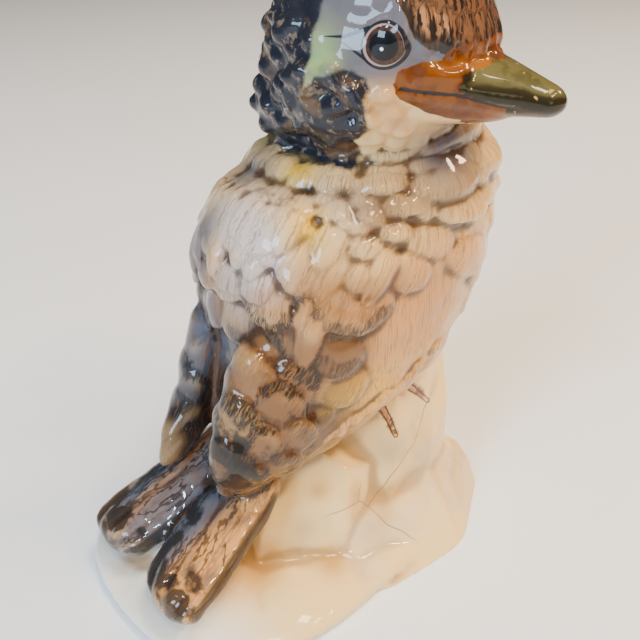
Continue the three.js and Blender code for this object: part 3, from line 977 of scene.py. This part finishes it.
# Each toe is outlined along both of its sides: how far a place is from its middle line, as
# it is seen along the line of sight.
figure = in_frame(spots, STILL)
off_toe = np.full(len(spots), FAR)
on_rock = is_kind("toe", "rock")
sight = np.array(back)
for line in toe_lines:
    for i, at in enumerate(smooth_table(line, 60)):
        away = figure - at
        off = np.linalg.norm(away - np.outer(away @ sight, sight), axis=1) / (1 - 0.5 * i / 60)
        near = on_rock & (np.linalg.norm(away, axis=1) < 2.6)
        off_toe = np.where(near, np.minimum(off_toe, off), off_toe)
print("toe skin", int((off_toe < 1.2).sum()))

# %% [markdown]
# Other marks are strengths from 0 to 1: where there are hair lines, veins, spots or cracks.
# All of them become attributes of the mesh later, and so does the grain, which gives every
# feather its own lengthwise coordinates for its fine lines.

# %% Strengths and grain
# The tail and the wing's end are mottled, and each blade has a dark line down its right side.
blade_y = np.interp(tx, (-39, -31, -22, -14), (9, 7.2, 5, 3.5))
off_blade = -(ty - np.where(ty > 0, 1, -1) * blade_y)
mottle = on_tail * (ramp(tx, -31, -36) * 0.6 + ramp(off_blade, -1.5, -4) * 0.8)
mottle = mottle + on_wing * ramp(tz, 40, 31) * ramp(ty, -17, -10) * ramp(ty, 3, -1) * 0.9
blade_line = on_tail * ramp(off_blade, 5.7, 6.3)
fields = {
    "down": np.where(bird & ~beak_here, np.maximum(ear_field, back_field), -FAR),
    "cap": np.where(is_kind("skull", "crown"), cap_field, -FAR),
    "olive": np.where(hx > 12, hx - olive_from, -FAR),
    "mouth": np.where(hx > 8.5, hz - mouth_z, FAR),
    "beak": np.where(is_kind("beak", "skull", "crown"), beak_field, -FAR),
    "ink": np.where(is_kind("covert"), marks["ink"], 0),
    "pit": pit,
    "toe": off_toe,
    "upward": normals[:, 2],
    "mottle": mottle,
    "hair": on_trunk * 1.0,
    "tail": on_tail * 1.0,
    "line": blade_line,
    "stone": stony * 1.0,
    "edge": np.clip(marks["edge"], -2, NO_EDGE),
    "tip": np.maximum(
        dab(trunk, (-37.7, -11.6, 10.6), (2.3, 2.3, 4)),
        dab(trunk, (-36.2, 8.2, 12), (2.2, 2.2, 4)),
    ),
    "side": np.abs(hy),
}
fields = {name: np.clip(column, -FAR, NO_EDGE) for name, column in fields.items()}
feathered = is_kind("covert", "fold", "tail", "crown", "curl")
grain = np.where(
    feathered[:, None],
    np.stack([marks["across"], marks["along"], marks["seed"] * 40], axis=1),
    np.stack([tx, tz, ty], axis=1) * U * 1000,
)
print("fields", sorted(fields))

# %% [markdown]
# The marks become attributes of the finished mesh, which the material reads by name.

# %% The finished piece
shell.to_mesh(glazed_data)
shell.free()
piece = bpy.data.objects.new("glazed_bird", glazed_data)
bpy.context.collection.objects.link(piece)
for name in [layer.name for layer in glazed_data.attributes if layer.name in MARKS]:
    glazed_data.attributes.remove(glazed_data.attributes[name])


def write_attribute(name, kind, value_name, values):
    layer = glazed_data.attributes.new(name, kind, "POINT")
    layer.data.foreach_set(value_name, values.astype(np.float32).ravel())


for name, column in fields.items():
    write_attribute(name, "FLOAT", "value", column)
write_attribute("wash", "FLOAT_COLOR", "color", np.c_[wash, np.ones(len(wash))])
write_attribute("grain", "FLOAT_VECTOR", "vector", grain)
write_attribute("face", "FLOAT_VECTOR", "vector", head)
glazed_data.shade_smooth()
triangles = sum(len(face.vertices) - 2 for face in glazed_data.polygons)
print("triangles", triangles)

# %% [markdown]
# Shader maths reads best as Python: this small class wraps a socket, so that an expression
# such as 1 - mask adds its Math nodes. Every other node comes from its one method, node.

# %% Shader values
class Value:
    """A number or colour in the material's nodes."""

    tree = None

    def __init__(self, socket):
        self.socket = socket

    @classmethod
    def node(cls, kind, settings, inputs, out=0):
        made = cls.tree.nodes.new(kind)
        for name, setting in settings.items():
            setattr(made, name, setting)
        for key, value in inputs.items():
            if isinstance(value, Value):
                cls.tree.links.new(value.socket, made.inputs[key])
            else:
                made.inputs[key].default_value = value
        return cls(made.outputs[out])

    def math(self, operation, other=0.0, third=0.0):
        return self.node("ShaderNodeMath", {"operation": operation}, {0: self, 1: other, 2: third})

    def __add__(self, other):
        return self.math("ADD", other)

    def __mul__(self, other):
        return self.math("MULTIPLY", other)

    def __sub__(self, other):
        return self.math("SUBTRACT", other)

    def __rsub__(self, other):
        return self.node("ShaderNodeMath", {"operation": "SUBTRACT"}, {0: other, 1: self})

    __radd__ = __add__
    __rmul__ = __mul__

    def rises(self, low, high):
        """A soft step from 0 at low to 1 at high. It falls where low is above high."""
        settings = {"interpolation_type": "SMOOTHSTEP"}
        if low > high:
            return 1 - self.rises(high, low)
        inputs = {"Value": self, "From Min": low, "From Max": high}
        return self.node("ShaderNodeMapRange", settings, inputs)

    def over(self, colour, mask):
        """This colour with another one, as on a screen, laid over it where the mask is 1."""
        colour = colour if isinstance(colour, Value) else (*paint(*colour), 1)
        return self.node(
            "ShaderNodeMix", {"data_type": "RGBA"}, {0: mask, 6: self, 7: colour}, out=2
        )


print("a value can", [name for name in vars(Value) if "__" not in name])

# %% [markdown]
# A few helpers keep the paint readable: attribute reads a mark by its name, stretched and
# noise draw a pattern along a feather, and plain is a colour to lay others over. The paint
# itself is noise in Object coordinates, which stays put on the piece wherever it is seen from.

# %% Helpers for the paint
def attribute(name, out="Fac"):
    return Value.node("ShaderNodeAttribute", {"attribute_name": name}, {}, out=out)


def stretched(vector, scale):
    return Value.node("ShaderNodeVectorMath", {"operation": "MULTIPLY"}, {0: vector, 1: scale})


def plain(colour):
    """One colour to start from, for others to be laid over."""
    made = Value.node("ShaderNodeRGB", {}, {})
    made.socket.default_value = (*paint(*colour), 1)
    return made


def noise(vector, scale, detail=2.0, rough=0.5):
    """Soft noise around zero, from about -0.5 to 0.5."""
    inputs = {"Vector": vector, "Scale": scale, "Detail": detail, "Roughness": rough}
    return Value.node("ShaderNodeTexNoise", {}, inputs) - 0.5


porcelain = bpy.data.materials.new("painted_porcelain")
porcelain.use_nodes = True
Value.tree = porcelain.node_tree
shader = porcelain.node_tree.nodes["Principled BSDF"]
place = Value.node("ShaderNodeTexCoord", {}, {}, out="Object")
print("material", porcelain.name)

# %% [markdown]
# Feathers: fine hair lines follow each feather, and the free edges of the wing's scallops
# carry ragged strokes of a nearly black brown, dragged back from the edge with a dry brush.

# %% Hair lines and inked edges
grain_at = attribute("grain", out="Vector")
colour = attribute("wash", out="Color")
hair_lines = noise(stretched(grain_at, (2.4, 0.1, 2.4)), 1.0, 2.0, 0.6)
broad = noise(place, 60.0)
ink_colour, hair_colour = (26, 25, 23), (112, 78, 50)
hair = hair_lines.rises(-0.04, 0.2) * attribute("hair") * broad.rises(-0.4, 0.0) * 0.6
colour = colour.over(hair_colour, hair)

dry_brush = noise(stretched(grain_at, (2.0, 0.22, 2.0)), 1.0, 2.0, 0.6)
gaps = noise(place, 120.0)
hatching = noise(stretched(grain_at, (3.4, 0.25, 3.4)), 1.0, 1.0).rises(-0.14, 0.04)
reach = attribute("edge") + dry_brush * 10.0 + gaps * 20.0
ink = reach.rises(5.4, 2.2) * attribute("ink") * (hatching * 0.55 + 0.45)
# The pits are darkened with the ink colour: painted shade in these small hollows.
pit_shade = (attribute("pit") + dry_brush * 1.2).rises(0.4, 1.0)
colour = colour.over(ink_colour, ink.math("MAXIMUM", pit_shade * 0.7) * 0.9)
print("nodes", len(Value.tree.nodes))

# %% [markdown]
# The tail has dark veins between its feathers and a dark round spot on each tip.

# %% The tail's paint
veins = noise(stretched(grain_at, (0.16, 0.045, 0.6)), 1.0, 3.0, 0.6).math("ABSOLUTE")
tail_ink = veins.rises(0.03, 0.008) * attribute("tail") * 0.85
clouds = noise(stretched(grain_at, (0.25, 0.1, 0.6)), 1.0, 3.0).rises(0.02, 0.2)
colour = colour.over((62, 64, 70), clouds * attribute("tail") * 0.6)
mottle = (noise(place, 200.0, 3.0) + attribute("mottle") * 0.3).rises(0.1, 0.28)
tip = (attribute("tip") + noise(place, 260.0) * 0.5).rises(0.28, 0.42)
tail_ink = tail_ink.math("MAXIMUM", mottle * attribute("mottle").rises(0.02, 0.2))
tail_ink = tail_ink.math("MAXIMUM", tip).math("MAXIMUM", attribute("line"))
colour = colour.over(ink_colour, tail_ink * 0.88)
print("nodes", len(Value.tree.nodes))

# %% [markdown]
# The down of the nape is nearly black with a blue cast, rubbed to brown on some curls. The
# cap over the beak is copper brown with dark strokes along its locks, darkest at its edge.

# %% The paint of the nape and the cap
rag = noise(place, 320.0, 3.0)
down = (attribute("down") + rag * 1.3).rises(-0.35, 0.35)
rubbed = noise(place, 90.0, 3.0, 0.6).rises(0.05, 0.16)
down_colour = plain((30, 32, 40)).over((96, 72, 48), rubbed * 0.7)
specks = noise(place, 420.0, 3.0, 0.6).rises(0.06, 0.16)
down_colour = down_colour.over((150, 128, 104), specks * 0.4)
colour = colour.over(down_colour, down)

cap_depth = attribute("cap") + rag * 1.8
cap_streaks = noise(stretched(grain_at, (1.1, 0.16, 1.0)), 1.0, 2.0, 0.6)
cap = cap_depth.rises(-0.2, 0.2)
colour = colour.over((104, 70, 46), cap)
colour = colour.over((176, 124, 80), cap * rubbed * 0.7)
colour = colour.over((30, 26, 24), cap * cap_streaks.rises(-0.08, 0.08))
colour = colour.over((40, 33, 30), cap * cap_depth.rises(2.6, 0.6) * 0.8)
print("nodes", len(Value.tree.nodes))

# %% [markdown]
# The beak is orange at its base and olive at its tip, with a dark line between its halves.

# %% The beak's paint
beak = (attribute("beak") + rag * 0.6).rises(-0.1, 0.1)
mouth_line = (attribute("mouth") + rag * 0.3).math("ABSOLUTE").rises(0.34, 0.16)
blotch = noise(place, 210.0, 3.0)
orange = plain((132, 76, 4)).over((54, 26, 10), blotch.rises(-0.08, 0.08) * 0.8)
orange = orange.over((216, 150, 80), noise(place, 120.0).rises(0.14, 0.24) * 0.7)
olive = plain((86, 82, 44)).over((52, 48, 22), blotch.rises(-0.04, 0.14) * 0.6)
# Where the beak faces down it is painted darker: painted shade on its underside.
underside_shade = (attribute("upward") + blotch * 0.5).rises(0.72, 0.5)
olive = olive.over((24, 20, 8), underside_shade * 0.92)
orange = orange.over((96, 44, 8), underside_shade * 0.6)
olive = olive.over((200, 160, 90), noise(place, 400.0).rises(0.17, 0.22) * 0.7)
tip_side = (attribute("olive") + rag * 2.2 + blotch * 1.6).rises(-0.15, 0.15)
colour = colour.over(orange.over(olive, tip_side), beak)
colour = colour.over((34, 24, 20), mouth_line * beak)
print("nodes", len(Value.tree.nodes))

# %% [markdown]
# The eye is drawn with rings round one centre, in the head's own frame: a black outline, a
# red-brown iris, a blue-black pupil and one small glint. Two fine lines taper from it.

# %% The eye's paint
face = Value.node("ShaderNodeSeparateXYZ", {}, {0: attribute("face", out="Vector")})
face_x, face_z = face, Value(face.socket.node.outputs["Z"])
flank = attribute("side").rises(8.5, 9.5)


def away_from(x, z):
    """How far a place on the side of the face is from a point of it."""
    dx, dz = face_x - x, face_z - z
    return (dx * dx + dz * dz).math("SQRT")


def stroke(start, end, wide, thin):
    """A brush stroke that tapers from wide to thin between two points of the face."""
    (ax, az), (bx, bz) = start, end
    dx, dz = bx - ax, bz - az
    along = ((face_x - ax) * dx + (face_z - az) * dz) * (1 / (dx * dx + dz * dz))
    along = along.math("MINIMUM", 1.0).math("MAXIMUM", 0.0)
    off_x, off_z = face_x - ax - along * dx, face_z - az - along * dz
    off = (off_x * off_x + off_z * off_z).math("SQRT") + along * (wide - thin)
    return off.rises(wide + 0.06, wide - 0.06) * flank


EYE_X, EYE_Z = 7.0, 3.1
from_eye = away_from(EYE_X, EYE_Z)
line_colour = (28, 27, 34)
for start, end, wide, thin in (
    ((4.9, 4.9), (2.1, 3.8), 0.26, 0.2),
    ((2.1, 3.8), (-0.6, 3.6), 0.2, 0.05),
    ((5.8, 1.0), (1.9, 3.2), 0.26, 0.06),
):
    colour = colour.over(line_colour, stroke(start, end, wide, thin))
iris = plain((64, 42, 30))
iris = iris.over((34, 20, 16), noise(place, 900.0).rises(-0.05, 0.1) * 0.6)
iris = iris.over((36, 20, 14), from_eye.rises(1.9, 1.55) * 0.8)
lid = away_from(EYE_X - 0.1, EYE_Z).rises(2.46, 2.38)
iris_disc = away_from(EYE_X + 0.06, EYE_Z).rises(2.28, 2.2)
glint = away_from(EYE_X - 0.15, EYE_Z - 0.35).rises(0.26, 0.16)
for ring_colour, ring in (
    (line_colour, from_eye.rises(2.86, 2.74)),
    ((150, 128, 116), lid),
    (iris, iris_disc),
    ((6, 7, 10), from_eye.rises(1.8, 1.6)),
    ((236, 238, 240), glint),
):
    colour = colour.over(ring_colour, ring * flank)
print("nodes", len(Value.tree.nodes))

# %% [markdown]
# The rock is left nearly white. Its glaze has crazed with age: a net of thin brown cracks,
# drawn with the edges of large Voronoi cells, and pools of ochre in the hollows.

# %% The rock's paint
stone_here = attribute("stone")
bent = Value.node(
    "ShaderNodeVectorMath", {"operation": "MULTIPLY_ADD"},
    {0: Value.node("ShaderNodeTexNoise", {}, {"Vector": place, "Scale": 40.0}, out="Color"),
     1: (0.012, 0.012, 0.012), 2: place},
)
cells = Value.node(
    "ShaderNodeTexVoronoi", {"feature": "DISTANCE_TO_EDGE"}, {"Vector": bent, "Scale": 17.0}
)
cracks = cells.rises(0.006, 0.001) * noise(place, 22.0, 1.0).rises(0.02, 0.08) * stone_here
pools = noise(place, 50.0, 3.0, 0.55).rises(0.06, 0.24) * stone_here
grey_pools = noise(stretched(place, (1.0, 1.0, 1.6)), 22.0).rises(0.04, 0.2) * stone_here
colour = colour.over((196, 152, 88), pools * 0.6)
colour = colour.over((196, 186, 172), grey_pools * 0.5)
colour = colour.over((120, 94, 70), cracks * 0.7)
toe = attribute("toe") + noise(place, 300.0) * 0.5
colour = colour.over((92, 44, 26), toe.rises(0.4, 0.6) * toe.rises(1.1, 0.85) * 0.9)
print("nodes", len(Value.tree.nodes))

# %% [markdown]
# The glaze itself is thick and clear: a smooth coat over a slightly rougher body. Its surface
# is never quite flat, which bends the reflections, so a broad shallow bump is added, and a
# finer one lets the hair lines and the ink stand in the glaze.

# %% The glaze
swell = noise(place, 130.0) * 0.0004
fine = hair_lines * attribute("hair") * 0.00012 + noise(place, 700.0) * 0.00003
bump = Value.node("ShaderNodeBump", {}, {"Strength": 1.0, "Distance": 1.0, "Height": swell + fine})
for name, value in {
    "Roughness": 0.45, "Specular IOR Level": 0.08, "IOR": 1.5,
    "Coat Weight": 1.0, "Coat Roughness": 0.04, "Coat IOR": 1.33,
    "Subsurface Weight": 0.03, "Subsurface Radius": (0.006, 0.004, 0.003),
}.items():
    shader.inputs[name].default_value = value
porcelain.node_tree.links.new(colour.socket, shader.inputs["Base Color"])
porcelain.node_tree.links.new(bump.socket, shader.inputs["Normal"])
glazed_data.materials.clear()
glazed_data.materials.append(porcelain)
print("nodes", len(Value.tree.nodes))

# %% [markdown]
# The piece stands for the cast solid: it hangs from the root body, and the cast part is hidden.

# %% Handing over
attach(piece, "root")
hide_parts("porcelain_bird")
